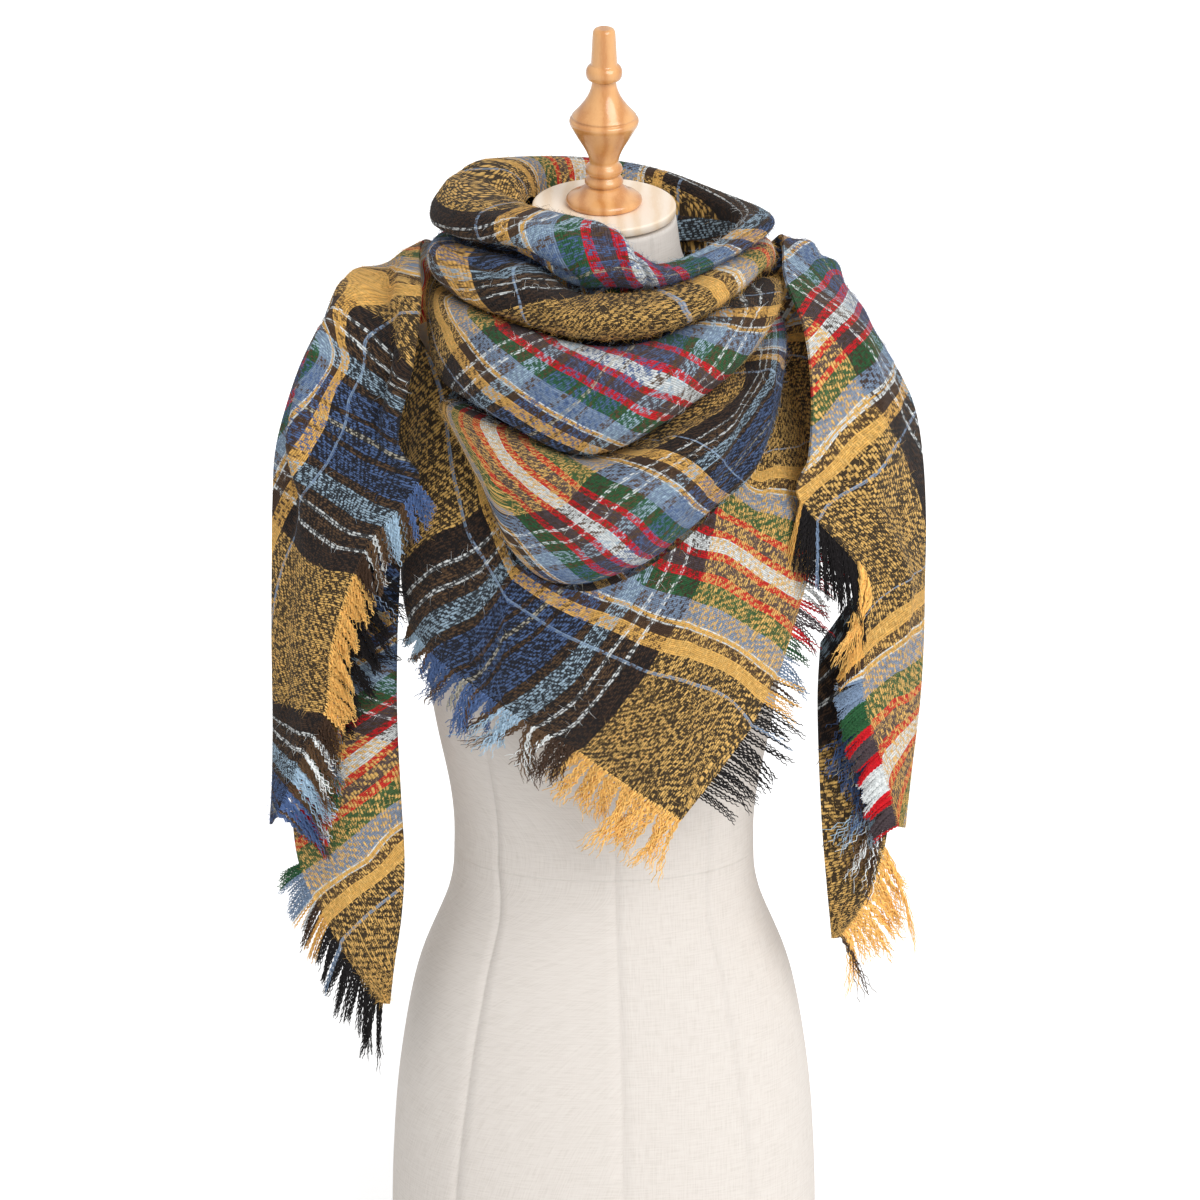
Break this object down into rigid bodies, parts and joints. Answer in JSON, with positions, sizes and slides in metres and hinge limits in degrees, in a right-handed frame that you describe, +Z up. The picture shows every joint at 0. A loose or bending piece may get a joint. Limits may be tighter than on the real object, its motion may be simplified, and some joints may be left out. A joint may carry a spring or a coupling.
{
  "type": "blanket scarf on dress form",
  "caption": "Large square plaid blanket scarf folded to a triangle, wound as a soft cowl with frayed ends over both shoulders, on a limbless padded dress form with a turned wooden finial.",
  "frame": {"origin": "middle of the dress form's flat underside", "axes": "+Z up the form, -Y out of the scarf's front, +X to the viewer's right"},
  "size_m": [0.5077, 0.3487, 1.0048],
  "materials": {
    "linen": "matte cream linen",
    "cap_wood": "satin varnish",
    "turned_wood": "glossy varnish",
    "plaid_cloth": "brushed tweedy plaid weave",
    "weft_fringe": "fluffy brushed yarn",
    "warp_fringe": "twisted crimped yarn",
    "blue_fringe": "fluffy brushed yarn"
  },
  "bodies": {
    "root": {"form_torso": "linen", "neck_cap": "cap_wood", "finial": "turned_wood", "neck_roll": "plaid_cloth", "yellow_roll": "plaid_cloth", "plaid_roll": "plaid_cloth", "broad_fold": "plaid_cloth", "front_point": "plaid_cloth", "left_end_over": "plaid_cloth", "left_end_under": "plaid_cloth", "right_end_over": "plaid_cloth", "right_end_under": "plaid_cloth", "point_weft_fringe": "weft_fringe", "left_over_fringe": "weft_fringe", "right_under_fringe": "weft_fringe", "point_warp_fringe": "warp_fringe", "left_under_fringe": "warp_fringe", "right_over_fringe": "warp_fringe", "left_fold_fringe": "blue_fringe", "right_fold_fringe": "blue_fringe"}
  },
  "joints": []
}
